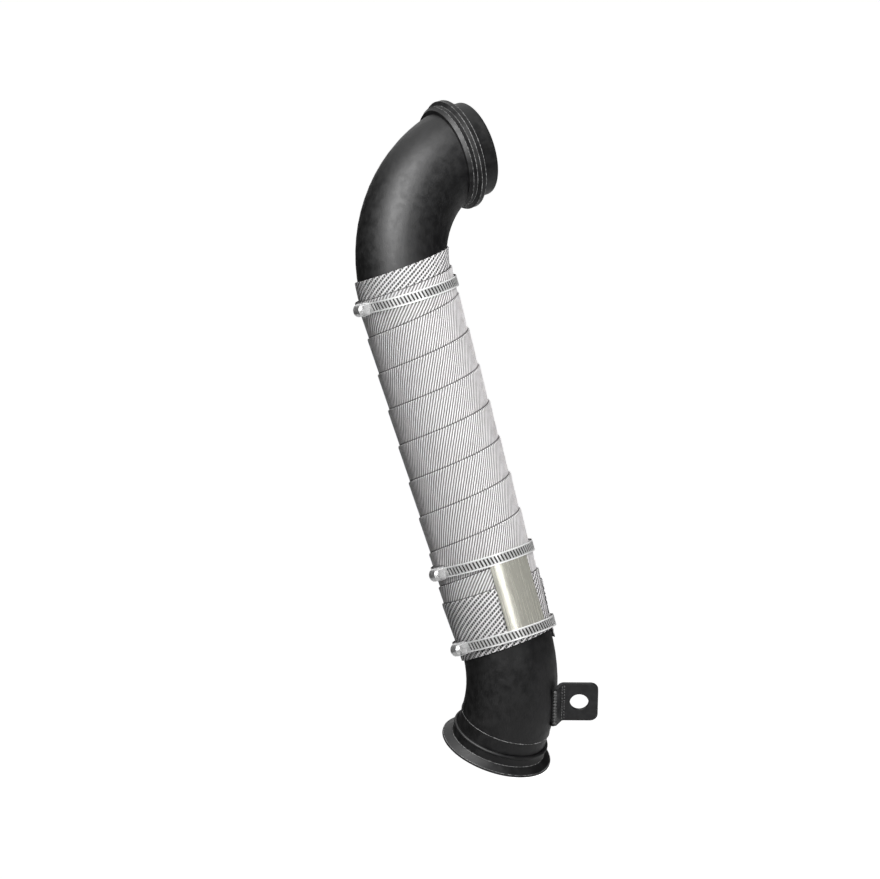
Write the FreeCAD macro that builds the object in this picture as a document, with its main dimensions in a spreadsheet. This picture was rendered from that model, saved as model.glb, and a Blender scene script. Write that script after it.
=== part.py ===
import FreeCAD, Part
import math
import os
import re

import Sketcher

Vector = FreeCAD.Vector

# Driving dimensions in millimetres and degrees.
# Bearings turn anticlockwise about +Z from +X, seen from above.
SIZES = {
    # Duct: a straight run with a bend at each end.
    "tube_diameter": 76.2,
    "tube_wall": 1.65,
    "bend_radius": 99.3,
    "straight_length": 304.0,
    "lower_bend_angle": 40.4,
    "lower_bend_bearing": 116.0,
    "stub_length": 13.3,
    "stub_step": 0.3,
    # Inlet ring: a shoulder, a taper up to the rim and a plain spigot. Heights are over the tube.
    "inlet_reach": 70.6,
    "inlet_lift": 1.4,
    "shoulder_length": 3.8,
    "shoulder_height": 5.2,
    "ring_taper_length": 2.4,
    "ring_rim_length": 4.2,
    "ring_rim_height": 8.4,
    "ring_rim_chamfer": 0.5,
    "spigot_height": 1.9,
    "spigot_length": 15.9,
    "spigot_round": 1.6,
    "inlet_bead_length": 3.0,
    "inlet_bead_height": 1.9,
    # Outlet flange: neck, cone and thin rim. Heights are over the tube.
    "neck_height": 1.8,
    "neck_length": 8.0,
    "cone_length": 4.2,
    "cone_height": 8.1,
    "outlet_rim_height": 8.8,
    "outlet_rim_length": 2.0,
    "outlet_bead_radius": 1.5,
    # Hanger bracket: a leg that leaves the lower bend on a tangent, bent out into a drilled plate.
    "bracket_station": 28.0,
    "bracket_bearing": 7.6,
    "bracket_lean": 11.8,
    "bracket_width": 35.6,
    "bracket_thickness": 3.0,
    "bracket_leg_start": 3.9,
    "bracket_leg_end": 15.9,
    "bracket_bend_angle": 60.0,
    "bracket_bend_radius": 2.0,
    "bracket_plate_length": 31.4,
    "bracket_corner_radius": 6.5,
    "bracket_hole_diameter": 15.6,
    "bracket_hole_margin": 15.7,
    "bracket_bead_radius": 2.2,
    # Heat wrap: tape wound down the straight run, each turn lapping the one above.
    # Heights are over the tube, drops are below the top of the straight run, rises above its foot.
    "wrap_bearing": -26.0,
    "wrap_crest_height": 4.1,
    "wrap_root_height": 2.5,
    "turn_pitch": 31.1,
    "turn_crest_width": 0.2,
    "turn_phase_drop": 14.1,
    "wrap_top_rise": 20.5,
    "wrap_top_tilt": 2.9,
    "first_turn_height": 2.2,
    "first_turn_rise": 5.6,
    "first_turn_tilt": 6.0,
    "last_turn_rise": 48.0,
    "last_turn_tilt": 4.8,
    "last_turn_height": 4.8,
    "wrap_end_fall": 1.8,
    "wrap_end_tilt": 5.4,
    "wrap_end_height": 1.5,
    "wrap_clearance": 0.05,
    # Worm clamps round the wrap.
    "band_height": 5.1,
    "band_thickness": 0.7,
    "band_width": 9.0,
    "band_seat_inset": 0.6,
    "band_seat_gap": 0.2,
    "upper_clamp_drop": 2.6,
    "middle_clamp_rise": 71.4,
    "lower_clamp_rise": 6.3,
    "clamp_bearing": 188.0,
    "slot_pitch": 3.1,
    "slot_width": 1.5,
    "slot_height": 6.2,
    "slot_depth": 0.4,
    "slot_slant": 15.0,
    "screw_height": 4.7,
    "worm_gap": 0.1,
    "housing_length": 8.0,
    "housing_radius": 5.45,
    "housing_skirt": 1.1,
    "band_gap": 0.1,
    "collar_radius": 4.3,
    "collar_length": 1.0,
    "head_flats": 7.0,
    "head_length": 3.0,
    "head_slot_width": 1.2,
    "head_slot_depth": 1.5,
    # Name plate held under the middle and lower bands.
    "plate_bearing": -85.75,
    "plate_arc": 50.5,
    "plate_thickness": 0.55,
    "plate_tuck": 4.0,
    "plate_clearance": 0.05,
}

# Sizes and places that follow from the driving dimensions.
TUBE_R = "(tube_diameter / 2)"
BORE_R = "(tube_diameter / 2 - tube_wall)"
SHOULDER_R = f"({TUBE_R} + shoulder_height)"
RING_RIM_R = f"({TUBE_R} + ring_rim_height)"
SPIGOT_R = f"({TUBE_R} + spigot_height)"
NECK_R = f"({TUBE_R} + neck_height)"
CONE_R = f"({TUBE_R} + cone_height)"
OUTLET_RIM_R = f"({TUBE_R} + outlet_rim_height)"
CREST_R = f"({TUBE_R} + wrap_crest_height)"
ROOT_R = f"({TUBE_R} + wrap_root_height)"
FIRST_TURN_R = f"({TUBE_R} + first_turn_height)"
LAST_TURN_R = f"({TUBE_R} + last_turn_height)"
WRAP_END_R = f"({TUBE_R} + wrap_end_height)"
BAND_INNER = f"({TUBE_R} + band_height)"
LAST_TURN_DROP = "(straight_length - last_turn_rise)"
WRAP_END_DROP = "(straight_length + wrap_end_fall)"
CLAMP_DROPS = {
    "upper": "upper_clamp_drop",
    "middle": "(straight_length - middle_clamp_rise)",
    "lower": "(straight_length - lower_clamp_rise)",
}
RING_LENGTH = "(shoulder_length + ring_taper_length + ring_rim_length)"
BEND_LEFT = "(bend_radius - inlet_reach)"
MITRE_TOP = f"sqrt((bend_radius + {TUBE_R})^2 - {BEND_LEFT}^2)"
MITRE_FOOT = f"sqrt((bend_radius - {TUBE_R})^2 - {BEND_LEFT}^2)"
INLET_RISE = f"(({MITRE_TOP} + {MITRE_FOOT}) / 2 + inlet_lift)"
UPPER_SWEEP = f"(acos({BEND_LEFT} / (bend_radius + {TUBE_R})) + 2 deg)"
BAND_OUTER = f"({BAND_INNER} + band_thickness)"
SCREW_AXIS = f"({BAND_OUTER} + screw_height)"
PLATE_INNER = f"({BAND_INNER} - plate_thickness)"
PLATE_TOP = f"(plate_tuck - {CLAMP_DROPS['middle']} - band_width / 2)"
PLATE_FOOT = f"(band_width / 2 - {CLAMP_DROPS['lower']} - plate_tuck)"

Z_AXIS = "vector(0; 0; 1)"
Y_AXIS = "vector(0; 1; 0)"
X_AXIS = "vector(1; 0; 0)"


def shift(x, y, z):
    """Placement moved by three expressions."""
    return f"placement(vector({x}; {y}; {z}); rotation({Z_AXIS}; 0))"


def turned(axis, angle):
    """Placement turned about an axis through its origin."""
    return f"placement(vector(0; 0; 0); rotation({axis}; {angle}))"


def chain(*places):
    return " * ".join(places)


# The duct's frame has its origin where the straight run meets the upper bend.
DUCT = shift(f"(-inlet_reach - {RING_LENGTH})", "0", f"(-{INLET_RISE})")
BEND_ENTRY = chain(DUCT, shift("0", "0", "(-straight_length)"), turned(Z_AXIS, "lower_bend_bearing"))


def down_bend(angle):
    """Place on the duct's centre line, this far round the lower bend, +Z back up the duct."""
    out = shift("bend_radius", "0", "0")
    back = shift("(-bend_radius)", "0", "0")
    return chain(BEND_ENTRY, out, turned(Y_AXIS, f"(-{angle})"), back)


OUTLET = down_bend("lower_bend_angle")
WRAP = chain(DUCT, turned(Z_AXIS, "wrap_bearing"))
BRACKET = chain(
    down_bend("bracket_station"),
    turned(Z_AXIS, "(180 + bracket_bearing)"),
    shift(TUBE_R, "0", "0"),
    turned(X_AXIS, "bracket_lean"),
)

doc = FreeCAD.newDocument("Downpipe")
sheet = doc.addObject("Spreadsheet::Sheet", "Sizes")
for row, (alias, size) in enumerate(SIZES.items(), start=1):
    sheet.set(f"A{row}", alias)
    sheet.set(f"B{row}", str(size))
    sheet.setAlias(f"B{row}", alias)
doc.recompute()

sub_parts = []


def cells(text):
    """Write each named size in an expression as a cell of the sheet."""
    return re.sub(r"\b[a-z_]+\b", lambda word: f"Sizes.{word[0]}" if word[0] in SIZES else word[0], text)


def value(text):
    return float(FreeCAD.Units.Quantity(sheet.evalExpression(cells(text))).Value)


def bind(item, **expressions):
    """Bind properties of a document object to expressions of the named sizes."""
    for name, text in expressions.items():
        item.setExpression(name, cells(text))
    return item


def primitive(kind, name, place, **expressions):
    return bind(doc.addObject(f"Part::{kind}", name), Placement=place, **expressions)


def fused(name, *items):
    union = doc.addObject("Part::MultiFuse", name)
    union.Shapes = list(items)
    return union


def cut(name, base, tool):
    result = doc.addObject("Part::Cut", name)
    result.Base = base
    result.Tool = tool
    return result


def sub_part(item, name):
    """Name an object as a piece of the assembly."""
    item.Label = name
    sub_parts.append(item)
    return item


def new_body(name, place):
    body = doc.addObject("PartDesign::Body", name)
    bind(body, Placement=place)
    return sub_part(body, name)


def sketch_on(body, name, role, place=None):
    """Sketch on one of the body's own origin planes."""
    sketch = body.newObject("Sketcher::SketchObject", name)
    plane = next(item for item in body.Origin.OriginFeatures if item.Role == role)
    sketch.AttachmentSupport = [(plane, "")]
    sketch.MapMode = "FlatFace"
    if place:
        bind(sketch, AttachmentOffset=place)
    return sketch


def pin_point(sketch, geometry, spot, x, y):
    """Hold a point of a sketch at two expressions from the sketch's origin."""
    for kind, axis, text in (("DistanceX", -2, x), ("DistanceY", -1, y)):
        if text == "0":
            sketch.addConstraint(Sketcher.Constraint("PointOnObject", geometry, spot, axis))
            continue
        held = sketch.addConstraint(Sketcher.Constraint(kind, -1, 1, geometry, spot, value(text)))
        sketch.setExpression(f"Constraints[{held}]", cells(text))


def add_circle(sketch, radius, x="0", y="0"):
    centre = Vector(value(x), value(y), 0)
    circle = sketch.addGeometry(Part.Circle(centre, Vector(0, 0, 1), value(radius)), False)
    held = sketch.addConstraint(Sketcher.Constraint("Radius", circle, value(radius)))
    sketch.setExpression(f"Constraints[{held}]", cells(radius))
    pin_point(sketch, circle, 3, x, y)


def add_outline(sketch, corners):
    """Closed outline of straight lines through corners given as pairs of expressions."""
    points = [Vector(value(x), value(y), 0) for x, y in corners]
    count = len(points)
    lines = [
        sketch.addGeometry(Part.LineSegment(points[k], points[(k + 1) % count]), False)
        for k in range(count)
    ]
    for k, line in enumerate(lines):
        follower = lines[(k + 1) % count]
        sketch.addConstraint(Sketcher.Constraint("Coincident", line, 2, follower, 1))
        pin_point(sketch, line, 1, *corners[k])


def add_box(sketch, left, foot, right, top):
    add_outline(sketch, [(left, foot), (right, foot), (right, top), (left, top)])


def feature(body, kind, name, sketch, **settings):
    """Sketch-based feature: text settings are expressions, the others plain values."""
    item = body.newObject(f"PartDesign::{kind}", name)
    item.Profile = sketch
    for key, setting in settings.items():
        if isinstance(setting, str) and key != "Type":
            bind(item, **{key: setting})
        else:
            setattr(item, key, setting)
    sketch.Visibility = False
    return item


def revolved(body, name, corners, axis):
    """Outline on the XZ plane turned all the way round the sketch's own axis."""
    sketch = sketch_on(body, f"{name}_outline", "XZ_Plane")
    add_outline(sketch, corners)
    return feature(body, "Revolution", name, sketch, ReferenceAxis=(sketch, [axis]), Angle="360")


def rounded(body, name, base, radius, chosen):
    """Fillet on the edges of a feature whose midpoint passes a test."""
    doc.recompute()
    edges = []
    for number, edge in enumerate(base.Shape.Edges, start=1):
        middle = edge.valueAt((edge.FirstParameter + edge.LastParameter) / 2)
        if chosen(edge, middle):
            edges.append(f"Edge{number}")
    fillet = body.newObject("PartDesign::Fillet", name)
    fillet.Base = (base, edges)
    bind(fillet, Radius=radius)
    return fillet


def duct_solid(name, radius, stub_radius):
    """Solid rod along the whole duct: upper bend, straight run, lower bend and stub."""
    upper = primitive(
        "Torus", f"{name}_upper",
        chain(DUCT, shift("bend_radius", "0", "0"), turned(Z_AXIS, "180"), turned(X_AXIS, "90")),
        Radius1="bend_radius", Radius2=radius, Angle3=UPPER_SWEEP,
    )
    run = primitive(
        "Cylinder", f"{name}_run", chain(DUCT, shift("0", "0", "(-straight_length)")),
        Radius=radius, Height="straight_length",
    )
    lower = primitive(
        "Torus", f"{name}_lower",
        chain(BEND_ENTRY, shift("bend_radius", "0", "0"), turned(Z_AXIS, "180"), turned(X_AXIS, "(-90)")),
        Radius1="bend_radius", Radius2=radius, Angle3="lower_bend_angle",
    )
    stub = primitive(
        "Cylinder", f"{name}_stub", chain(OUTLET, shift("0", "0", "(-stub_length)")),
        Radius=stub_radius, Height="stub_length",
    )
    return fused(name, upper, run, lower, stub)


def make_tube():
    """Bent tube, hollow all the way, its upper end cut square to the inlet."""
    hollow = cut("tube_hollow", duct_outer, duct_inner)
    beyond = primitive(
        "Box", "beyond_inlet",
        chain(DUCT, shift("inlet_reach", "(-tube_diameter)", "0")),
        Length="tube_diameter", Width="2 * tube_diameter", Height=f"{INLET_RISE} + tube_diameter",
    )
    return sub_part(cut("downpipe_tube", hollow, beyond), "downpipe_tube")


def make_inlet():
    """Turned inlet ring on the X axis, and the weld bead behind it."""
    body = new_body("inlet_flange", shift("0", "0", "0"))
    back = f"(-{RING_LENGTH})"
    taper_foot = "(-ring_rim_length - ring_taper_length)"
    ring = revolved(body, "inlet_ring", [
        (back, BORE_R),
        (back, SHOULDER_R),
        (taper_foot, SHOULDER_R),
        ("(-ring_rim_length)", RING_RIM_R),
        ("(-ring_rim_chamfer)", RING_RIM_R),
        ("0", f"({RING_RIM_R} - ring_rim_chamfer)"),
        ("0", SPIGOT_R),
        ("spigot_length", SPIGOT_R),
        ("spigot_length", BORE_R),
    ], "H_Axis")
    end = value("spigot_length")
    radius = value(SPIGOT_R)

    def at_spigot_end(edge, middle):
        return abs(middle.x - end) < 0.01 and abs(math.hypot(middle.y, middle.z) - radius) < 0.01

    rounded(body, "spigot_end", ring, "spigot_round", at_spigot_end)

    cone = primitive(
        "Cone", "inlet_bead_cone",
        chain(shift(f"({back} - inlet_bead_length)", "0", "0"), turned(Y_AXIS, "90")),
        Radius1=f"{SHOULDER_R} - inlet_bead_height", Radius2=f"{SHOULDER_R} - 0.1",
        Height="inlet_bead_length",
    )
    sub_part(cut("inlet_weld", cone, duct_outer), "inlet_weld")


def make_outlet():
    """Turned outlet flange below the stub, and the weld bead round the joint."""
    body = new_body("outlet_flange", OUTLET)
    neck_foot = "(-stub_length - neck_length)"
    cone_foot = f"({neck_foot} - cone_length)"
    face = f"({cone_foot} - outlet_rim_length)"
    revolved(body, "outlet_ring", [
        (BORE_R, "(-stub_length)"),
        (NECK_R, "(-stub_length)"),
        (NECK_R, neck_foot),
        (CONE_R, cone_foot),
        (OUTLET_RIM_R, f"({cone_foot} - 0.4)"),
        (OUTLET_RIM_R, f"({face} + 0.4)"),
        (CONE_R, face),
        (BORE_R, face),
    ], "V_Axis")

    ring = primitive(
        "Torus", "outlet_bead_ring", chain(OUTLET, shift("0", "0", "(-stub_length)")),
        Radius1=f"{NECK_R} - outlet_bead_radius / 2", Radius2="outlet_bead_radius",
    )
    neck = primitive(
        "Cylinder", "outlet_bead_seat", chain(OUTLET, shift("0", "0", neck_foot)),
        Radius=NECK_R, Height="neck_length",
    )
    above_neck = cut("outlet_bead_above", ring, neck)
    sub_part(cut("outlet_weld", above_neck, duct_outer), "outlet_weld")


def make_bracket():
    """Bent hanger plate: a leg flat on the tube, then a plate with one hole standing off it."""
    body = new_body("hanger_bracket", BRACKET)
    bend = "bracket_bend_angle"
    thickness = "bracket_thickness"
    tip = (
        f"(bracket_plate_length * sin({bend}))",
        f"(bracket_leg_end + bracket_plate_length * cos({bend}))",
    )
    outer_bend = ("0", "bracket_leg_end")
    inner_bend = (thickness, f"(bracket_leg_end - {thickness} * tan({bend} / 2))")
    section = sketch_on(body, "bracket_section", "XY_Plane")
    add_outline(section, [
        ("0", "bracket_leg_start"),
        outer_bend,
        tip,
        (f"({tip[0]} + {thickness} * cos({bend}))", f"({tip[1]} - {thickness} * sin({bend}))"),
        inner_bend,
        (thickness, "bracket_leg_start"),
    ])
    blank = feature(body, "Pad", "bracket_blank", section, Length="bracket_width", Midplane=True)

    def near(corner):
        spot = Vector(value(corner[0]), value(corner[1]), 0)
        return lambda edge, middle: (middle - spot).Length < 0.01

    inside = rounded(body, "bend_inside", blank, "bracket_bend_radius", near(inner_bend))
    outside = rounded(
        body, "bend_outside", inside, f"bracket_bend_radius + {thickness}", near(outer_bend),
    )

    tip_spot = Vector(value(tip[0]), value(tip[1]), 0)
    half_width = value("bracket_width / 2")
    reach = value(thickness)

    def at_tip_corner(edge, middle):
        on_flank = abs(abs(middle.z) - half_width) < 0.01
        at_tip = (Vector(middle.x, middle.y, 0) - tip_spot).Length < reach
        return on_flank and at_tip and edge.Length < 1.01 * reach

    plate = rounded(body, "plate_corners", outside, "bracket_corner_radius", at_tip_corner)

    along = "(bracket_plate_length - bracket_hole_margin)"
    hole = sketch_on(body, "hanger_hole_circle", "XY_Plane", chain(
        shift(f"({along} * sin({bend}))", f"(bracket_leg_end + {along} * cos({bend}))", "0"),
        turned(Z_AXIS, f"(-{bend})"),
        turned(Y_AXIS, "90"),
    ))
    add_circle(hole, "bracket_hole_diameter / 2")
    doc.recompute()
    solid = plate.Shape.Volume
    feature(
        body, "Pocket", "hanger_hole", hole,
        Type="Length", Length=f"4 * {thickness}", Midplane=True,
    )
    doc.recompute()
    drilled = value(f"pi * (bracket_hole_diameter / 2)^2 * {thickness}")
    assert abs(solid - body.Shape.Volume - drilled) < 0.01 * drilled, "hanger hole is not cut through"

    toe = primitive(
        "Cylinder", "bracket_bead",
        chain(BRACKET, shift("0", "bracket_leg_start", "(-bracket_width / 2)")),
        Radius="bracket_bead_radius", Height="bracket_width",
    )
    clear_of_tube = cut("bracket_bead_on_tube", toe, duct_outer)
    sub_part(cut("bracket_weld", clear_of_tube, body), "bracket_weld")


def tilted_block(name, height, tilt, side):
    """Large block above (side 1) or below (side -1) a plane tilted across the wrap."""
    width = f"(4 * {CREST_R})"
    depth = "(2 * turn_pitch)"
    foot = "0" if side > 0 else f"(-{depth})"
    place = chain(
        WRAP, shift("0", "0", height), turned(Y_AXIS, f"(-{tilt})"),
        shift(f"(-{width} / 2)", f"(-{width} / 2)", foot),
    )
    return primitive("Box", name, place, Length=width, Width=width, Height=depth)


def make_turns():
    """Helical turns of the tape: each tapers inwards down to the upper edge of the next."""
    margin = "(turn_pitch / 2)"
    blank = primitive(
        "Cylinder", "turns_blank", chain(WRAP, shift("0", "0", f"(-{LAST_TURN_DROP} - {margin})")),
        Radius=CREST_R, Height=f"{LAST_TURN_DROP} + first_turn_rise + 2 * {margin}",
    )
    below = f"(ceil({LAST_TURN_DROP} / turn_pitch) + 1)"
    start = chain(WRAP, shift("0", "0", f"(-turn_phase_drop - {below} * turn_pitch)"))
    path = primitive("Helix", "turns_path", start, Pitch="turn_pitch", Radius=ROOT_R)
    path.SegmentLength = 1
    doc.recompute()
    bind(path, Height=f"({below} + 2) * turn_pitch")
    section = doc.addObject("Sketcher::SketchObject", "turns_section")
    bind(section, Placement=chain(start, turned(X_AXIS, "90")))
    outside = f"({CREST_R} + {CREST_R} - {ROOT_R})"
    add_outline(section, [
        (CREST_R, "(-turn_crest_width)"),
        (ROOT_R, "(-turn_pitch)"),
        (outside, "(-turn_pitch)"),
        (outside, "(-turn_crest_width)"),
    ])
    doc.recompute()
    groove = doc.addObject("Part::Sweep", "turns_groove")
    groove.Sections = [section]
    groove.Spine = (path, [f"Edge{number + 1}" for number in range(len(path.Shape.Edges))])
    groove.Solid = True
    groove.Frenet = True
    below_first = cut("turns_below_first", cut("turns_wound", blank, groove), block_above_first)
    return cut("turns", below_first, block_below_last)


def make_wrap():
    """The whole wrap: square first turn, helical turns, full-width last turn and clamp seats."""
    first_height = "(wrap_top_rise + turn_pitch)"
    first = primitive(
        "Cylinder", "first_turn_blank", WRAP, Radius=FIRST_TURN_R, Height=first_height,
    )
    first = cut("first_turn_top", first, tilted_block("above_top", "wrap_top_rise", "wrap_top_tilt", 1))
    first = cut("first_turn", first, tilted_block("below_first", "first_turn_rise", "first_turn_tilt", -1))

    spare = "(turn_pitch / 4)"
    last = primitive(
        "Cone", "last_turn_blank", chain(WRAP, shift("0", "0", f"(-{WRAP_END_DROP} - {spare})")),
        Radius1=WRAP_END_R, Radius2=LAST_TURN_R,
        Height=f"{WRAP_END_DROP} - {LAST_TURN_DROP} + 2 * {spare}",
    )
    last = cut("last_turn_top", last, tilted_block("above_last", f"(-{LAST_TURN_DROP})", "last_turn_tilt", 1))
    last = cut("last_turn", last, tilted_block("below_end", f"(-{WRAP_END_DROP})", "wrap_end_tilt", -1))

    seats = [
        primitive(
            "Cylinder", f"{name}_seat",
            chain(WRAP, shift("0", "0", f"(-{drop} - band_width / 2 + band_seat_inset)")),
            Radius=f"{BAND_INNER} - band_seat_gap", Height="band_width - 2 * band_seat_inset",
        )
        for name, drop in CLAMP_DROPS.items()
    ]
    wound = fused("wrap_wound", make_turns(), first, last, *seats)

    around = chain(DUCT, turned(Z_AXIS, "(plate_bearing - plate_arc / 2 - plate_clearance)"))
    pocket = cut(
        "plate_pocket",
        primitive(
            "Cylinder", "plate_pocket_outer",
            chain(around, shift("0", "0", f"({PLATE_FOOT} - plate_clearance)")),
            Radius=f"{BAND_INNER} + band_thickness",
            Height=f"{PLATE_TOP} - {PLATE_FOOT} + 2 * plate_clearance",
            Angle="plate_arc + 2 * plate_clearance",
        ),
        primitive(
            "Cylinder", "plate_pocket_inner",
            chain(around, shift("0", "0", f"({PLATE_FOOT} - band_width)")),
            Radius=PLATE_INNER, Height=f"{PLATE_TOP} - {PLATE_FOOT} + 2 * band_width",
        ),
    )
    wound = cut("wrap_with_pocket", wound, pocket)
    sub_part(cut("heat_wrap", wound, duct_clear), "heat_wrap")


def make_plate():
    """Curved name plate lying on the wrap, its ends tucked under two bands."""
    body = new_body("name_plate", chain(DUCT, turned(Z_AXIS, "plate_bearing")))
    section = sketch_on(body, "name_plate_section", "XZ_Plane")
    add_box(section, PLATE_INNER, PLATE_FOOT, BAND_INNER, PLATE_TOP)
    feature(
        body, "Revolution", "name_plate_sheet", section,
        ReferenceAxis=(section, ["V_Axis"]), Angle="plate_arc", Midplane=True,
    )


def slot_cutters():
    """Slanted thread slots all round the band, leaving out the stretch inside the housing."""
    radius = value(BAND_OUTER)
    count = int(2 * math.pi * radius / value("slot_pitch"))
    covered = value("housing_length / 2 + slot_pitch") / radius
    width, height, depth = value("slot_width"), value("slot_height"), value("slot_depth")
    cutters = []
    for number in range(count):
        angle = 2 * math.pi * number / count
        if min(angle, 2 * math.pi - angle) < covered:
            continue
        slot = Part.makeBox(2 * depth, width, height, Vector(-depth, -width / 2, -height / 2))
        slot.rotate(Vector(0, 0, 0), Vector(1, 0, 0), value("slot_slant"))
        slot.translate(Vector(radius, 0, 0))
        slot.rotate(Vector(0, 0, 0), Vector(0, 0, 1), math.degrees(angle))
        cutters.append(slot)
    item = doc.addObject("Part::Feature", "band_slots")
    item.Shape = Part.makeCompound(cutters)
    return item


def make_band_blank():
    """Plain ring, centred on its own origin."""
    outer = primitive(
        "Cylinder", "band_outer", shift("0", "0", "(-band_width / 2)"),
        Radius=BAND_OUTER, Height="band_width",
    )
    inner = primitive(
        "Cylinder", "band_inner", shift("0", "0", "(-band_width)"),
        Radius=BAND_INNER, Height="2 * band_width",
    )
    return cut("band_blank", outer, inner)


def make_housing(name, place):
    """Domed worm housing with its skirts down both sides of the band, +X outwards."""
    body = new_body(f"{name}_clamp_housing", place)
    foot = f"({BAND_INNER} - band_gap)"
    roof = f"({BAND_OUTER} + band_gap)"
    flank = "(band_width / 2 + band_gap)"
    through = {"Type": "Length", "Length": "2 * housing_length", "Midplane": True}

    dome = sketch_on(body, f"{name}_dome_circle", "XZ_Plane")
    add_circle(dome, "housing_radius", SCREW_AXIS)
    feature(body, "Pad", f"{name}_dome", dome, Length="housing_length", Midplane=True)

    base = sketch_on(body, f"{name}_base_box", "XZ_Plane")
    add_box(base, foot, "(-housing_radius)", SCREW_AXIS, "housing_radius")
    feature(body, "Pad", f"{name}_base", base, Length="housing_length", Midplane=True)

    passage = sketch_on(body, f"{name}_band_passage", "XZ_Plane")
    add_box(passage, f"({foot} - housing_skirt)", f"(-{flank})", roof, flank)
    feature(body, "Pocket", f"{name}_passage", passage, **through)

    bore = sketch_on(body, f"{name}_worm_bore", "XZ_Plane")
    add_circle(bore, "screw_height", SCREW_AXIS)
    feature(body, "Pocket", f"{name}_bore", bore, **through)


def make_screw(name, place):
    """Worm screw along +Y: plain worm, collar and slotted hexagon head."""
    axis = chain(place, shift(SCREW_AXIS, "0", "0"), turned(X_AXIS, "(-90)"))
    body = new_body(f"{name}_clamp_screw", axis)
    mouth = "(housing_length / 2)"

    worm = sketch_on(body, f"{name}_worm_circle", "XY_Plane", shift("0", "0", f"(-{mouth})"))
    add_circle(worm, "screw_height - worm_gap")
    feature(body, "Pad", f"{name}_worm", worm, Length="housing_length")

    collar = sketch_on(body, f"{name}_collar_circle", "XY_Plane", shift("0", "0", mouth))
    add_circle(collar, "collar_radius")
    feature(body, "Pad", f"{name}_collar", collar, Length="collar_length")

    head_foot = f"({mouth} + collar_length)"
    head = sketch_on(body, f"{name}_head_hexagon", "XY_Plane", shift("0", "0", head_foot))
    across = "(head_flats / sqrt(3))"
    add_outline(head, [
        (f"({across} * cos({60 * k}))", f"({across} * sin({60 * k}))" if k % 3 else "0")
        for k in range(6)
    ])
    feature(body, "Pad", f"{name}_head", head, Length="head_length")

    slot_floor = f"({head_foot} + head_length - head_slot_depth)"
    slot = sketch_on(body, f"{name}_driver_slot", "XY_Plane", shift("0", "0", slot_floor))
    add_box(slot, "(-head_flats)", "(-head_slot_width / 2)", "head_flats", "(head_slot_width / 2)")
    doc.recompute()
    solid = body.Shape.Volume
    feature(
        body, "Pocket", f"{name}_slot", slot,
        Type="Length", Length="2 * head_slot_depth", Reversed=True,
    )
    doc.recompute()
    assert body.Shape.Volume < solid, "driver slot is not cut"


def make_clamp(name, drop, band_blank, slots):
    """One worm clamp: slotted band, housing and screw."""
    place = chain(DUCT, shift("0", "0", f"(-{drop})"), turned(Z_AXIS, "clamp_bearing"))
    band = bind(cut(f"{name}_clamp_band", band_blank, slots), Placement=place)
    sub_part(band, f"{name}_clamp_band")
    make_housing(name, place)
    make_screw(name, place)


duct_outer = duct_solid("duct_outer", TUBE_R, f"({TUBE_R} - stub_step)")
duct_inner = duct_solid("duct_inner", BORE_R, BORE_R)
duct_clear = duct_solid("duct_clear", f"({TUBE_R} + wrap_clearance)", TUBE_R)
block_above_first = tilted_block("above_first", "first_turn_rise", "first_turn_tilt", 1)
block_below_last = tilted_block("below_last", f"(-{LAST_TURN_DROP})", "last_turn_tilt", -1)

make_tube()
make_inlet()
make_outlet()
make_bracket()
make_wrap()
make_plate()
band_blank = make_band_blank()
band_slots = slot_cutters()
for clamp, drop in CLAMP_DROPS.items():
    make_clamp(clamp, drop, band_blank, band_slots)
doc.recompute()

for item in doc.Objects:
    if {"Invalid", "Error"} & set(item.State):
        raise RuntimeError(f"{item.Label} did not recompute: {item.State}")
for item in sub_parts:
    if item.Shape.isNull() or not item.Shape.isValid():
        raise RuntimeError(f"{item.Label} has no valid shape")

os.makedirs("parts", exist_ok=True)
for item in sub_parts:
    item.Shape.exportStep(os.path.join("parts", f"{item.Label}.step"))
    print(f"{item.Label}: {len(item.Shape.Solids)} solid, {item.Shape.Volume:.1f} mm3")
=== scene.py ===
import math

import bpy
import numpy as np
from mathutils import Matrix, Vector


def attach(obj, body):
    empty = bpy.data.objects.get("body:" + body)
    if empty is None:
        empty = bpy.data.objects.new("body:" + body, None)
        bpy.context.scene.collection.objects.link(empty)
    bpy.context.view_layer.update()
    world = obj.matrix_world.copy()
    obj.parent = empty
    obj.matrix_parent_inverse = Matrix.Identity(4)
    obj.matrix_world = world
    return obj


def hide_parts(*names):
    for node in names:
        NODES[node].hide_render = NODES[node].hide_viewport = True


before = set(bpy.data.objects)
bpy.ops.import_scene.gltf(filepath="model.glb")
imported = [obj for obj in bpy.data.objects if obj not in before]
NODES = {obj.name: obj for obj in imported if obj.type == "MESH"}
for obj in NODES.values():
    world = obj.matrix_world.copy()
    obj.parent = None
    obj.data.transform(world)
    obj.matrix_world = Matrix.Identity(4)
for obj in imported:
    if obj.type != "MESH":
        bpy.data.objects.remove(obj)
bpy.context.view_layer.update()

# Lengths are in metres. The duct's own origin is where its straight run meets the upper bend.
DUCT = Vector((-0.081, 0.0, -0.0956112))
TUBE_R = 0.0381
BEND_R = 0.0993
STRAIGHT = 0.304
LOWER_ANGLE = math.radians(40.4)
LOWER_BEARING = math.radians(116)

# Depth of each band's middle below that origin.
CLAMP_DROPS = {"upper": 0.0026, "middle": 0.2326, "lower": 0.2977}

# The bracket's place on the lower bend, and the sizes of its plate.
BRACKET_STATION = math.radians(28)
BRACKET_BEARING = math.radians(187.6)
BRACKET_LEAN = math.radians(11.8)
PLATE_THICKNESS = 0.003
PLATE_BEND = math.radians(60)
LEG_END = 0.0159

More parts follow.
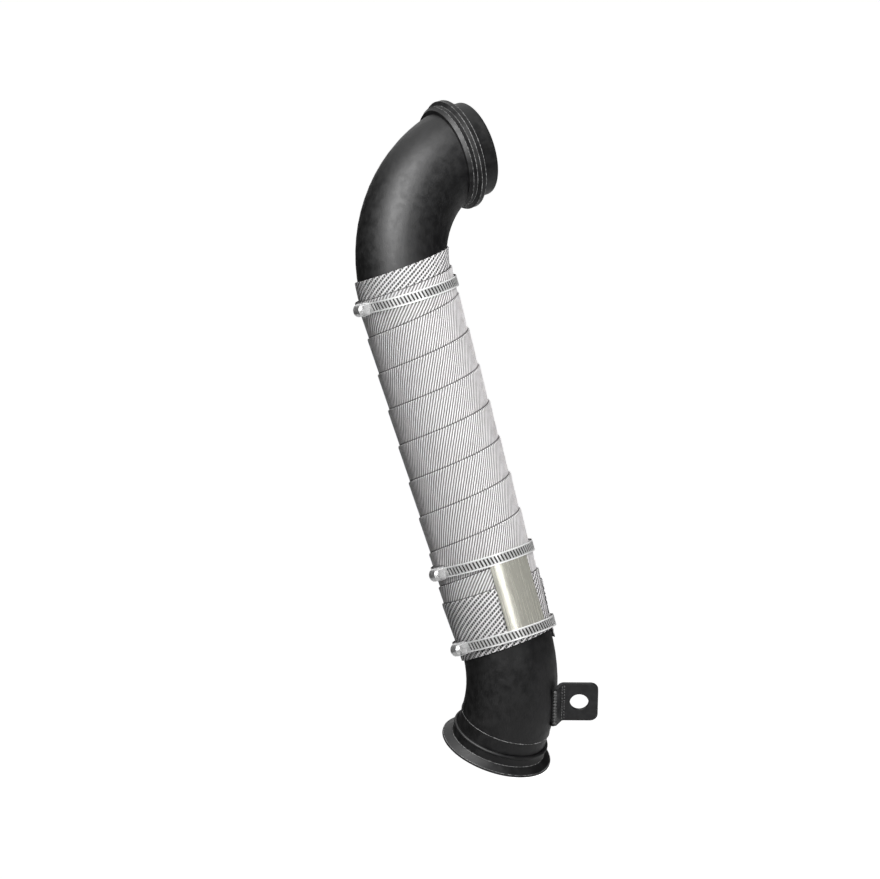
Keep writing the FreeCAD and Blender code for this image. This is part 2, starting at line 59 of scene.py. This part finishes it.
# The wrap's angles are in degrees, wound from its right outline, which lies at this bearing.
# From LAST_TURN the tape shows its whole width, and from FREE_END it lies over its last turn.
WRAP_BEARING = -26.0
TAPE_START = -140.0
TAPE_END = 3955.0
LAST_TURN = 3560.0
FREE_END = 3730.0

# Mean radius of the wound tape, its whole width as the last turn shows it, its thickness, and
# how far and how deep a turn goes on under the next.
MEAN_R = 0.0415
TAPE_WIDTH = 0.0502
TAPE_THICKNESS = 0.0015
FREE_END_THICKNESS = 0.0009
TUCK = 0.0028
TUCK_DEPTH = 0.0012

# Radius of the tape's upper edge in the first turn, then what it gains and between which angles.
FIRST_TURN_R = 0.0403
CLIMB = 200.0
CLIMBS = ((0.0019, CLIMB, 250.0), (0.0005, 3430.0, 3580.0), (0.0008, FREE_END, 3800.0))

# Height of the tape's upper edge every half turn, in millimetres about the duct's own origin:
# from half a turn before the right outline to the outline, to the left and on round the back.
EDGE_HEIGHTS = [
    21.0, 26.0, 18.4, 10.0, 1.3, -13.0, -29.7, -44.3, -60.6, -75.7, -91.7, -107.0, -122.9, -137.9,
    -154.2, -169.3, -185.2, -200.2, -216.3, -231.3, -245.4, -252.5, -259.6, -262.1,
]

# Pitch of the ribs along the tape and their slope across it. The twill has ridges and, along
# them, dots.
FINE_SLOPE = math.tan(math.radians(26))
WIDE_SLOPE = math.tan(math.radians(42))
FINE_RIBS = (0.0025, FINE_SLOPE)
WIDE_RIBS = (0.0034, WIDE_SLOPE)
TWILL_TILT = math.radians(31)
TWILL_PITCH = 0.0035
DOT_PITCH = 0.00235

# The stage: its middle, its floor, the corners of a square, and the picture's width and scale.
MIDDLE = Vector((-0.08, 0, -0.25))
FLOOR_Z = -0.64
SQUARE = ((-1, -1), (1, -1), (1, 1), (-1, 1))
PICTURE_WIDTH = 880
PIXELS_PER_METRE = 1200.8


def new_object(name, points, faces, smooth=True):
    mesh = bpy.data.meshes.new(name)
    mesh.from_pydata([tuple(p) for p in points], [], faces)
    mesh.update()
    if smooth:
        mesh.shade_smooth()
    piece = bpy.data.objects.new(name, mesh)
    bpy.context.scene.collection.objects.link(piece)
    return piece


def finish_piece(piece, material, slot, *replaced):
    piece.data.materials.append(material)
    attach(piece, "root")
    if replaced:
        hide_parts(*replaced)


def smoothstep(low, high, x):
    t = np.clip((x - low) / (high - low), 0, 1)
    return t * t * (3 - 2 * t)


def angles_round(count):
    return [2 * math.pi * k / count for k in range(count)]


def rgb(*colour):
    return (*colour, 1.0)


# Materials

class Tree:
    """Short way to write a node tree."""

    def __init__(self, owner):
        owner.use_nodes = True
        self.tree = owner.node_tree
        self.tree.nodes.clear()

    def join(self, source, socket):
        self.tree.links.new(source, socket)

    def feed(self, socket, source):
        if isinstance(source, bpy.types.NodeSocket):
            self.join(source, socket)
        else:
            socket.default_value = source

    def node(self, kind, **settings):
        item = self.tree.nodes.new(f"ShaderNode{kind}")
        for key, setting in settings.items():
            setattr(item, key, setting)
        return item

    def math(self, operation, a, b=None, clamp=False):
        item = self.node("Math", operation=operation, use_clamp=clamp)
        self.feed(item.inputs[0], a)
        if b is not None:
            self.feed(item.inputs[1], b)
        return item.outputs[0]


class Graph(Tree):
    """A material and the nodes that feed its one shader."""

    def __init__(self, name):
        self.material = bpy.data.materials.new(name)
        super().__init__(self.material)
        self.shader = self.node("BsdfPrincipled")
        self.join(self.shader.outputs[0], self.node("OutputMaterial").inputs[0])

    def ease(self, x, low, high, start=0.0, end=1.0):
        item = self.node("MapRange", interpolation_type="SMOOTHSTEP")
        keys = ("Value", "From Min", "From Max", "To Min", "To Max")
        for key, source in zip(keys, (x, low, high, start, end)):
            self.feed(item.inputs[key], source)
        return item.outputs[0]

    def mix(self, factor, a, b):
        item = self.node("Mix", data_type="RGBA")
        self.feed(item.inputs[0], factor)
        self.feed(item.inputs[6], a)
        self.feed(item.inputs[7], b)
        return item.outputs[2]

    def place(self):
        return self.node("TexCoord").outputs["Object"]

    def split(self, vector):
        item = self.node("SeparateXYZ")
        self.join(vector, item.inputs[0])
        return item.outputs

    def noise(self, scale, vector=None, detail=3.0, rough=0.55):
        item = self.node("TexNoise")
        item.inputs["Scale"].default_value = scale
        item.inputs["Detail"].default_value = detail
        item.inputs["Roughness"].default_value = rough
        self.join(vector or self.place(), item.inputs["Vector"])
        return item.outputs["Fac"]

    def stretched(self, *scales):
        item = self.node("Mapping")
        item.inputs["Scale"].default_value = scales
        self.join(self.place(), item.inputs["Vector"])
        return item.outputs[0]

    def bump(self, height, strength, distance, normal=None):
        item = self.node("Bump")
        item.inputs["Strength"].default_value = strength
        item.inputs["Distance"].default_value = distance
        self.feed(item.inputs["Height"], height)
        if normal:
            self.join(normal, item.inputs["Normal"])
        return item.outputs[0]

    def set(self, **sockets):
        for key, source in sockets.items():
            self.feed(self.shader.inputs[key.replace("_", " ")], source)

    def set_by_grain(self, grain, tones, dark, light, roughness, relief):
        """Tone, roughness and relief that all follow one grain."""
        self.set(
            Base_Color=self.mix(self.ease(grain, *tones), rgb(*dark), rgb(*light)),
            Roughness=self.ease(grain, 0.3, 0.7, *roughness), Normal=self.bump(grain, *relief),
        )


def black_paint(name, lift=1.0):
    """Baked-on black paint over hammered-looking tube: soft sheen, faint mottling."""
    g = Graph(name)
    fine = g.noise(900, detail=4)
    blotch = g.noise(160, detail=3)
    wide = g.noise(28, detail=2)
    dark = rgb(0.005 * lift, 0.005 * lift, 0.0054 * lift)
    light = rgb(0.0105 * lift, 0.0105 * lift, 0.011 * lift)
    colour = g.mix(g.ease(blotch, 0.35, 0.7), dark, light)
    colour = g.mix(g.ease(wide, 0.45, 0.75, 0.0, 0.5), colour, rgb(0.017, 0.0165, 0.0165))
    g.set(
        Base_Color=colour, Roughness=g.ease(blotch, 0.3, 0.7, 0.44, 0.56), Specular_IOR_Level=0.4,
        Normal=g.bump(fine, 0.22, 0.0004, g.bump(blotch, 0.15, 0.0009)),
    )
    return g.material


def radius_about_duct(g):
    """Distance from the straight run's axis."""
    x, y, _ = g.split(g.place())
    x = g.math("SUBTRACT", x, DUCT.x)
    squares = g.math("ADD", g.math("MULTIPLY", x, x), g.math("MULTIPLY", y, y))
    return g.math("SQRT", squares)


def stainless(name, slots=False):
    """Bright rolled strip: fine streaks, scratches, and with slots, rims painted near-white as a
    painted highlight and painted shade where the slots go in.
    """
    g = Graph(name)
    streaks = g.noise(500, g.stretched(1, 1, 12), detail=3)
    smear = g.noise(60, detail=3)
    colour = g.mix(g.ease(smear, 0.3, 0.7), rgb(0.66, 0.66, 0.66), rgb(0.82, 0.82, 0.82))
    rough = g.ease(streaks, 0.3, 0.7, 0.26, 0.4)
    metal = 0.6
    if slots:
        height = g.split(g.place())[2]
        off_middle = 1.0
        for drop in CLAMP_DROPS.values():
            away = g.math("ABSOLUTE", g.math("SUBTRACT", height, DUCT.z - drop))
            off_middle = g.math("MINIMUM", away, off_middle)
        rim_starts, rim_ends = 0.0034, 0.0037
        # Painted highlight: the band's rims are painted near-white and less metallic.
        rim_highlight = g.ease(off_middle, rim_starts, rim_ends)
        colour = g.mix(rim_highlight, g.mix(0.15, colour, rgb(0.4, 0.4, 0.4)), rgb(0.95, 0.95, 0.95))
        # Painted shade: the slot floors, below the band's face, are painted near-black and dull.
        slot_floor, band_face = 0.04358, 0.04384
        slot_shade = g.ease(radius_about_duct(g), slot_floor, band_face, 1.0, 0.0)
        colour = g.mix(slot_shade, colour, rgb(0.02, 0.018, 0.017))
        rough = g.math("ADD", rough, g.math("MULTIPLY", slot_shade, 0.4), clamp=True)
        dull = g.math("MAXIMUM", slot_shade, g.math("MULTIPLY", rim_highlight, 0.7))
        metal = g.math("MULTIPLY", g.math("SUBTRACT", 1.0, dull), 0.35)
    g.set(Base_Color=colour, Roughness=rough, Metallic=metal, Normal=g.bump(streaks, 0.15, 0.0002))
    return g.material


def plate_steel():
    """Brushed plate: long fine strokes down its height, warm tone, scuffs."""
    g = Graph("plate_steel")
    strokes = g.noise(900, g.stretched(1, 1, 0.03), detail=4, rough=0.7)
    scuff = g.noise(70, g.stretched(1, 1, 0.5), detail=4)
    colour = g.mix(g.ease(strokes, 0.35, 0.65), rgb(0.6, 0.59, 0.52), rgb(0.67, 0.66, 0.585))
    colour = g.mix(g.ease(scuff, 0.58, 0.75, 0.0, 0.4), colour, rgb(0.4, 0.39, 0.34))
    g.set(
        Base_Color=colour, Metallic=0.5, Roughness=g.ease(strokes, 0.3, 0.7, 0.2, 0.3),
        Normal=g.bump(strokes, 0.12, 0.0002),
    )
    return g.material


def packing_painted_shade():
    """Edge-on layers of tape pressed under a band, painted dark grey as painted shade."""
    g = Graph("tape_painted_shade")
    layers = g.noise(700, g.stretched(0.2, 0.2, 3), detail=3)
    # Dark to mid grey: painted shade under the band.
    dark, light = (0.16, 0.15, 0.15), (0.42, 0.4, 0.4)
    g.set_by_grain(layers, (0.35, 0.65), dark, light, (0.7, 0.9), (0.4, 0.0004))
    return g.material


def edge_highlight_paint():
    """Light grey flecks in a line along an edge: a painted highlight on the paint."""
    g = Graph("edge_highlight_paint")
    flecks = g.noise(420, detail=3, rough=0.7)
    # Light grey over dark: the painted highlight along the edge.
    dark, light = (0.06, 0.06, 0.06), (0.32, 0.32, 0.32)
    g.set_by_grain(flecks, (0.42, 0.62), dark, light, (0.5, 0.7), (0.3, 0.0003))
    return g.material


def weld_painted_light():
    """Painted weld: grey as a painted highlight, darker in the hollows as painted shade and
    greyest on the humps.
    """
    g = Graph("weld_painted_light")
    grain = g.noise(650, detail=4)
    # Grey on the humps is a painted highlight, and dark in the hollows is painted shade.
    dark, light = (0.045, 0.045, 0.045), (0.13, 0.13, 0.13)
    g.set_by_grain(grain, (0.35, 0.65), dark, light, (0.45, 0.65), (0.3, 0.0003))
    return g.material


def wave(g, phase):
    """Fraction of the phase, folded to run 0 to 1 and back."""
    doubled = g.math("MULTIPLY", g.math("FRACT", phase), 2.0)
    return g.math("ABSOLUTE", g.math("SUBTRACT", doubled, 1.0))


def weighted(g, operation, along, across, weights):
    """Sum or difference of the two distances on the tape, each times its weight."""
    along, across = (g.math("MULTIPLY", *pair) for pair in zip((along, across), weights))
    return g.math(operation, along, across)


def glass_tape(name, ribs=None):
    """Woven glass tape: pale yarns over gaps painted dark as painted shade, and painted shade
    where a turn dives under the next.
    """
    g = Graph(name)
    along, across, _ = g.split(g.node("UVMap", uv_map="tape").outputs[0])
    to_lap = g.split(g.node("UVMap", uv_map="lap").outputs[0])[0]
    wander = g.math("MULTIPLY", g.math("SUBTRACT", g.noise(140, detail=1), 0.5), 0.16)
    if ribs:
        pitch, slope = ribs
        phase = g.math("SUBTRACT", along, g.math("MULTIPLY", across, slope))
        phase = g.math("ADD", g.math("DIVIDE", phase, pitch), wander)
        raised = g.ease(wave(g, phase), 0.24, 0.66)
        gap_shade = rgb(0.13, 0.12, 0.12)
    else:
        sine, cosine = math.sin(TWILL_TILT), math.cos(TWILL_TILT)
        over_ridges = (sine / TWILL_PITCH, cosine / TWILL_PITCH)
        over_dots = (cosine / DOT_PITCH, sine / DOT_PITCH)
        ridge = weighted(g, "SUBTRACT", along, across, over_ridges)
        run = weighted(g, "ADD", along, across, over_dots)
        ridge = g.math("ADD", ridge, wander)
        run = g.math("ADD", run, g.math("MULTIPLY", ridge, 0.3))
        dots = g.math("MULTIPLY", g.ease(wave(g, run), 0.6, 0.8), 0.75)
        raised = g.math("MAXIMUM", g.ease(wave(g, ridge), 0.5, 0.64), dots)
        gap_shade = rgb(0.012, 0.011, 0.011)
    fibre = g.noise(2600, detail=2)
    soil = g.noise(45, detail=3)
    clean, soiled = rgb(0.93, 0.915, 0.925), rgb(0.78, 0.75, 0.755)
    yarn = g.mix(g.ease(soil, 0.4, 0.75, 0.0, 0.35), clean, soiled)
    # The gaps between the yarns are painted dark: painted shade in the weave's hollows.
    colour = g.mix(raised, gap_shade, yarn)
    colour = g.mix(g.ease(fibre, 0.35, 0.7, 0.0, 0.16), colour, rgb(0.45, 0.43, 0.43))
    # Painted shade along the edge where a turn dives under the next.
    crevice_shade = g.ease(to_lap, 0.0, 0.0015, 0.95, 0.0)
    g.set(
        Base_Color=g.mix(crevice_shade, colour, rgb(0.03, 0.027, 0.027)),
        Roughness=g.ease(fibre, 0.3, 0.7, 0.62, 0.85), Sheen_Weight=0.03,
        Normal=g.bump(fibre, 0.3, 0.00025, g.bump(raised, 0.35, 0.0004)),
    )
    return g.material


# The wrap

def edge_height(turned):
    """Height of the tape's upper edge in metres, on a smooth curve through the listed heights."""
    knots = 180.0 * (np.arange(len(EDGE_HEIGHTS)) - 1)
    heights = np.array(EDGE_HEIGHTS) / 1000
    slopes = np.gradient(heights, knots)
    k = np.clip(np.searchsorted(knots, turned, side="right") - 1, 0, len(knots) - 2)
    step = knots[k + 1] - knots[k]
    t = (turned - knots[k]) / step
    return (
        (2 * t**3 - 3 * t**2 + 1) * heights[k] + (t**3 - 2 * t**2 + t) * step * slopes[k]
        + (3 * t**2 - 2 * t**3) * heights[k + 1] + (t**3 - t**2) * step * slopes[k + 1]
    )


def lapped(turned):
    """Whether the next turn lies over this one."""
    return turned + 360 < TAPE_END


def shown_width(turned):
    """How much of the tape's width shows before the next turn covers it."""
    drop = edge_height(turned) - edge_height(np.minimum(turned + 360, TAPE_END))
    return np.where(lapped(turned), drop, TAPE_WIDTH)


def crest(turned):
    """Radius of the tape's upper edge."""
    radius = FIRST_TURN_R
    for gain, low, high in CLIMBS:
        radius = radius + gain * smoothstep(low, high, turned)
    return radius


def outside(turned, across):
    """Radius of the tape's face: flat on the tube in the first turn, then falling to the lap."""
    top = crest(turned)
    lap_r, lap_at = 0.0406, 0.0311
    usual = top - (top - lap_r) * np.clip(across / lap_at, 0, 1.2)
    shoulder, below = 0.032, 0.018
    last = (
        top - 0.0023 * np.clip(across / shoulder, 0, 1)
        - 0.0008 * np.clip((across - shoulder) / below, 0, 1)
    )
    face = np.where(turned < CLIMB, FIRST_TURN_R, usual)
    return np.where(turned > LAST_TURN, last, face)


def fold(phase):
    """Fraction of the phase, folded to run 1 to 0 and back."""
    return np.abs(2 * (phase - np.floor(phase)) - 1)


def weave_relief(along, across, ribs=None):
    """Height of the weave, from 0 in its gaps to 1 on its yarns."""
    if ribs:
        pitch, slope = ribs
        return smoothstep(0.1, 0.7, fold((along - across * slope) / pitch))
    ridge = (along * math.sin(TWILL_TILT) - across * math.cos(TWILL_TILT)) / TWILL_PITCH
    run = (along * math.cos(TWILL_TILT) + across * math.sin(TWILL_TILT)) / DOT_PITCH + 0.3 * ridge
    return np.maximum(smoothstep(0.3, 0.62, fold(ridge)), 0.6 * smoothstep(0.35, 0.7, fold(run)))


def spots(radius, turned, height):
    """Points round the straight run, and round the start of the upper bend above it."""
    bearing = np.radians(WRAP_BEARING - turned)
    drawn = np.sqrt(BEND_R ** 2 - np.maximum(height, 0) ** 2)
    aside = BEND_R - drawn + radius * np.cos(bearing) * BEND_R / drawn
    return np.stack([DUCT.x + aside, DUCT.y + radius * np.sin(bearing), DUCT.z + height], -1)


def strip_faces(columns, count):
    """Faces of a closed strip: a ring of points in every column, capped at both ends."""
    index = np.arange(columns * count).reshape(columns, count)
    a, b = index[:-1], index[1:]
    quads = np.stack([a, b, np.roll(b, -1, 1), np.roll(a, -1, 1)], -1).reshape(-1, 4)
    caps = [index[0].tolist(), index[-1][::-1].tolist()]
    return [tuple(face) for face in quads.tolist() + caps]


def ribbon(name, start, end, columns_apart, rows, weave, slants):
    """Length of tape wound from one angle to another: a closed strip with the weave in relief.

    Its columns of points lean with the ribs, by the slant at its start, in its middle and at
    its end."""
    ribs, depth, material = weave
    length = math.radians(end - start) * MEAN_R
    columns = int(length / columns_apart) + 1
    along = np.linspace(0, length, columns) + math.radians(start) * MEAN_R
    base_turned = np.degrees(along / MEAN_R)
    width = shown_width(base_turned) + np.where(lapped(base_turned), TUCK, 0)
    share = np.concatenate([[0.0, 0.012, 0.03], np.linspace(0.06, 1, rows)])
    across = share[None, :] * width[:, None]
    first, middle, last = slants
    change = 45
    bounds = [start, start + change, end - change, end]
    slant = np.interp(base_turned, bounds, [first, middle, middle, last])
    along = along[:, None] + slant[:, None] * across
    turned = np.degrees(along / MEAN_R)

    height = edge_height(turned) - across
    room = shown_width(turned)
    dive = smoothstep(0, 1, (across - room) / TUCK) * np.where(lapped(turned), TUCK_DEPTH, 0)
    rounding = 0.0005 * (1 - smoothstep(0, 0.035, share))[None, :]
    face = outside(turned, across)
    outer = face - dive - rounding - depth * (1 - weave_relief(along, across, ribs))
    inner = np.maximum(face - TAPE_THICKNESS, TUBE_R + 0.0001)
    inner = np.where(turned > FREE_END, face - FREE_END_THICKNESS, inner) - dive
    edges = [share.size - 1, 0]
    inner_points = spots(inner[:, edges], turned[:, edges], height[:, edges])
    points = np.concatenate([spots(outer, turned, height), inner_points], 1)
    faces = strip_faces(*points.shape[:2])
    piece = new_object(name, points.reshape(-1, 3).tolist(), faces)

    def with_edges(values):
        return np.concatenate([values, values[:, edges]], 1)

    mesh = piece.data
    clear_of_lap = 0.01
    to_lap = with_edges(np.where(lapped(turned), room - across, clear_of_lap))
    tape = np.stack([with_edges(along), with_edges(across)], -1)
    lap = np.stack([to_lap, np.zeros_like(to_lap)], -1)
    vertex = np.zeros(len(mesh.loops), np.int32)
    mesh.loops.foreach_get("vertex_index", vertex)
    for layer_name, values in (("tape", tape), ("lap", lap)):
        layer = mesh.uv_layers.new(name=layer_name)
        layer.uv.foreach_set("vector", values.reshape(-1, 2)[vertex].astype(np.float32).ravel())
    finish_piece(piece, material, "glass_tape", "heat_wrap")


def make_wrap():
    """Five lengths of tape end to end, since the weave changes down the wrap."""
    twill = (None, 0.00045, glass_tape("tape_twill"))
    wide = (WIDE_RIBS, 0.0004, glass_tape("tape_wide_ribs", WIDE_RIBS))
    fine = (FINE_RIBS, 0.0003, glass_tape("tape_fine_ribs", FINE_RIBS))
    wide_step, fine_step = WIDE_RIBS[0] / 7, FINE_RIBS[0] / 6
    w, f = WIDE_SLOPE, FINE_SLOPE
    ribbon("tape_first_turn", TAPE_START, 270, 0.00055, 42, twill, (0, 0, w))
    ribbon("tape_second_turn", 270, 630, wide_step, 14, wide, (w, w, f))
    ribbon("tape_middle_turns", 630, 3150, fine_step, 12, fine, (f, f, f))
    ribbon("tape_next_to_last_turn", 3150, 3510, wide_step, 14, wide, (f, w, w))
    ribbon("tape_last_turn", 3510, TAPE_END, 0.0006, 84, twill, (w, 0, 0))


# Packing under the bands, edge lines and beads

def new_ring(name, profile, place, segments):
    """Closed ring: pairs of radius and height turned about the Z axis of a place."""
    points = [
        place @ Vector((r * math.cos(t), r * math.sin(t), z))
        for t in angles_round(segments) for r, z in profile
    ]
    count = len(profile)
    faces = []
    for k in range(segments):
        here, there = k * count, (k + 1) % segments * count
        for i in range(count):
            j = (i + 1) % count
            faces.append((here + i, there + i, there + j, here + j))
    return new_object(name, points, faces)


def make_packing():
    """Folded tape filling the space between the wrap and each band, dark grey as painted shade."""
    material = packing_painted_shade()
    inner, outer, half = 0.0402, 0.04255, 0.0039
    profile = [(inner, -half), (outer, -half), (outer, half), (inner, half)]
    for name, drop in CLAMP_DROPS.items():
        place = Matrix.Translation(DUCT - Vector((0, 0, drop)))
        piece = new_ring(f"{name}_band_packing", profile, place, 120)
        finish_piece(piece, material, "glass_tape", "heat_wrap")


def down_bend(angle):
    """Place on the centre line this far round the lower bend, its Z axis back up the duct."""
    foot = Matrix.Translation(DUCT - Vector((0, 0, STRAIGHT)))
    out = Matrix.Translation((BEND_R, 0, 0))
    turn = Matrix.Rotation(-angle, 4, "Y")
    return foot @ Matrix.Rotation(LOWER_BEARING, 4, "Z") @ out @ turn @ out.inverted()


def make_edge_lines():
    """Fine raised lines of paint round the turned edges of the two flanges, light grey as painted
    highlights.
    """
    material = edge_highlight_paint()
    thick = 0.0003
    inlet = Matrix.Rotation(math.radians(90), 4, "Y")
    outlet = down_bend(LOWER_ANGLE)
    lines = (
        (inlet, 0.0433, -0.0103), (inlet, 0.0433, -0.0066), (inlet, 0.0465, -0.0042),
        (inlet, 0.0463, -0.0002), (outlet, 0.0381, 0.0), (outlet, 0.0400, -0.0134),
        (outlet, 0.0399, -0.0212), (outlet, 0.0463, -0.0256),
    )
    for number, (place, radius, height) in enumerate(lines, 1):
        profile = [
            (radius + thick * math.cos(t), height + thick * math.sin(t)) for t in angles_round(8)
        ]
        piece = new_ring(f"edge_line_{number}", profile, place, 144)
        finish_piece(piece, material, "black_paint")


def bead(place, x, y, z, size, first):
    """Points of a small ellipsoid, and its faces with the points numbered from the first."""
    rings, sides = 5, 10
    points = [place @ Vector((x, y, z - size[2]))]
    for ring in range(1, rings + 1):
        tilt = math.pi * (ring / (rings + 1) - 0.5)
        for turn in angles_round(sides):
            points.append(place @ Vector((
                x + size[0] * math.cos(tilt) * math.cos(turn),
                y + size[1] * math.cos(tilt) * math.sin(turn),
                z + size[2] * math.sin(tilt),
            )))
    points.append(place @ Vector((x, y, z + size[2])))
    faces = []
    low = first + 1
    high = low + (rings - 1) * sides
    for side in range(sides):
        step = (side + 1) % sides
        faces.append((first, low + step, low + side))
        faces.append((high + sides, high + side, high + step))
        for near in range(low, high, sides):
            faces.append((near + side, near + step, near + sides + step, near + sides + side))
    return points, faces


def make_bracket_beads():
    """Rope of small weld beads down the bracket's free edge and two rows of beads at its bend."""
    material = weld_painted_light()
    place = (
        down_bend(BRACKET_STATION) @ Matrix.Rotation(BRACKET_BEARING, 4, "Z")
        @ Matrix.Translation((TUBE_R, 0, 0)) @ Matrix.Rotation(BRACKET_LEAN, 4, "X")
    )
    half_length = 0.0165
    bend_y = LEG_END - PLATE_THICKNESS * math.tan(PLATE_BEND / 2)
    up_plate = 0.0014 * math.sin(PLATE_BEND)
    edge_size, bend_size = (0.0019, 0.0017, 0.0018), (0.0006, 0.0007, 0.0011)
    for name, x, y, count, size in (
        ("bracket_edge_beads", 0.0017, 0.0032, 11, edge_size),
        ("bracket_bend_beads_near", 0.0031, bend_y - 0.0012, 12, bend_size),
        ("bracket_bend_beads_far", PLATE_THICKNESS + up_plate, bend_y + 0.0009, 12, bend_size),
    ):
        points, faces = [], []
        for k in range(count):
            z = half_length * (2 * (k + 0.5) / count - 1)
            more_points, more_faces = bead(place, x, y, z, size, len(points))
            points += more_points
            faces += more_faces
        finish_piece(new_object(name, points, faces), material, "black_paint")


# Nodes carried over from CAD

def dress():
    """Give every CAD node that stays in view its material."""
    paint = black_paint("black_paint")
    clamp = stainless("clamp_screw_steel")
    by_ending = {
        "_band": stainless("clamp_band_steel", slots=True), "_housing": clamp, "_screw": clamp,
        "name_plate": plate_steel(), "hanger_bracket": black_paint("bracket_paint", lift=2.2),
    }
    for name, node in NODES.items():
        if name == "heat_wrap":
            continue
        fitting = [material for ending, material in by_ending.items() if name.endswith(ending)]
        node.data.materials.clear()
        node.data.materials.append(fitting[0] if fitting else paint)


# Stage

def new_sheet(name, outline, material):
    sheet = new_object(name, outline, [(0, 1, 2, 3)], smooth=False)
    sheet.data.materials.append(material)
    return sheet


def make_floor():
    """White to the camera and faint in reflections, and grey to the light that falls on it."""
    material = bpy.data.materials.new("floor")
    tree = Tree(material)
    path = tree.node("LightPath").outputs
    faint = tree.math("MULTIPLY", path["Is Glossy Ray"], 0.3)
    seen = tree.math("MAXIMUM", path["Is Camera Ray"], faint)
    glow = tree.node("Emission")
    tree.feed(glow.inputs["Strength"], tree.math("MULTIPLY", seen, 0.985))
    diffuse = tree.node("BsdfDiffuse")
    tree.feed(diffuse.inputs[0], rgb(0.45, 0.45, 0.45))
    both = tree.node("AddShader")
    tree.join(diffuse.outputs[0], both.inputs[0])
    tree.join(glow.outputs[0], both.inputs[1])
    tree.join(both.outputs[0], tree.node("OutputMaterial").inputs[0])
    reach = 20
    new_sheet("floor", [(reach * x, reach * y, FLOOR_Z) for x, y in SQUARE], material)


def make_world():
    """White to the camera and in reflections, and faint as a light."""
    world = bpy.data.worlds.new("studio")
    bpy.context.scene.world = world
    tree = Tree(world)
    path = tree.node("LightPath").outputs
    seen = tree.math("MAXIMUM", path["Is Camera Ray"], path["Is Glossy Ray"])
    strength = tree.node("MapRange")
    tree.feed(strength.inputs["Value"], seen)
    tree.feed(strength.inputs["To Min"], 0.06)
    background = tree.node("Background")
    tree.feed(background.inputs["Color"], rgb(1, 1, 1))
    tree.feed(background.inputs["Strength"], strength.outputs[0])
    tree.join(background.outputs[0], tree.node("OutputWorld").inputs[0])


def make_camera():
    """Parallel view from bearing -116 degrees, 5 degrees up, rolled 16 degrees."""
    azimuth, rise, roll = (math.radians(a) for a in (26, 5, 16))
    level = Vector((math.cos(azimuth), -math.sin(azimuth), 0))
    ahead = Vector((math.sin(azimuth), math.cos(azimuth), 0))
    upright = Vector((0, 0, 1)) * math.cos(rise) + ahead * math.sin(rise)
    right = level * math.cos(roll) - upright * math.sin(roll)
    up = level * math.sin(roll) + upright * math.cos(roll)
    back = level.cross(upright)
    aim = DUCT - 0.00688 * level - 0.1265 * upright
    away = 1.6
    data = bpy.data.cameras.new("camera")
    data.type = "ORTHO"
    data.ortho_scale = PICTURE_WIDTH / PIXELS_PER_METRE
    camera = bpy.data.objects.new("camera", data)
    bpy.context.scene.collection.objects.link(camera)
    turn = Matrix((right, up, back)).transposed().to_4x4()
    camera.matrix_world = Matrix.Translation(aim + back * away) @ turn
    bpy.context.scene.camera = camera
    return level, upright, back


def lamp(name, place, aim, size, power, unlit):
    data = bpy.data.lights.new(name, "AREA")
    data.shape = "RECTANGLE"
    data.size, data.size_y = size
    data.energy = power
    item = bpy.data.objects.new(name, data)
    bpy.context.scene.collection.objects.link(item)
    item.location = place
    item.rotation_mode = "QUATERNION"
    item.rotation_quaternion = (aim - place).to_track_quat("-Z", "Y")
    setattr(item, unlit, False)


def make_lamps(level, upright, back):
    """Lamps set by steps back, level and upright from the middle, each aimed this far above it."""
    glossy, diffuse = "visible_glossy", "visible_diffuse"
    for name, steps, aim_up, size, power, unlit in (
        ("key", (1.3, 0.55, 0.35), 0.0, (0.5, 0.9), 23.5, glossy),
        ("sheen", (1.1, -0.34, 0.95), 0.2, (1.1, 1.8), 76, diffuse),
        ("strip", (1.2, 0.62, -0.12), -0.12, (0.18, 0.5), 2.6, diffuse),
        ("top", (0.2, 0.2, 1.3), 0.0, (0.8, 0.8), 1.5, glossy),
        ("rear", (-1.4, 0.0, 0.3), 0.0, (0.8, 0.9), 14, glossy),
    ):
        place = MIDDLE + back * steps[0] + level * steps[1] + upright * steps[2]
        lamp(name, place, MIDDLE + upright * aim_up, size, power, unlit)


def make_drapes(level, upright, back):
    """Dark drapes beside, behind and below the camera, seen only in reflections."""
    material = bpy.data.materials.new("drape")
    material.use_nodes = True
    cloth = material.node_tree.nodes["Principled BSDF"].inputs
    cloth["Base Color"].default_value = rgb(0.01, 0.01, 0.01)
    cloth["Specular IOR Level"].default_value = 0.0
    drapes = {
        name: [centre + aside * a + upright * b * 1.6 for a, b in SQUARE]
        for name, centre, aside in (
            ("drape_left", MIDDLE - level * 0.85, back * 3),
            ("drape_right", MIDDLE + level * 0.85, back * 3),
            ("drape_front", MIDDLE + back * 2.4, level),
        )
    }
    low_z = -0.6
    near, far, aside = MIDDLE + back * 0.2, MIDDLE + back * 3, level * 3
    drapes["drape_low"] = [
        Vector((p.x, p.y, low_z)) for p in (near - aside, near + aside, far + aside, far - aside)
    ]
    for name, outline in drapes.items():
        drape = new_sheet(name, outline, material)
        drape.visible_camera = drape.visible_shadow = drape.visible_diffuse = False


make_wrap()
make_packing()
make_edge_lines()
make_bracket_beads()
dress()
make_floor()
make_world()
axes = make_camera()
make_lamps(*axes)
make_drapes(*axes)
bpy.context.scene.view_settings.view_transform = "Standard"
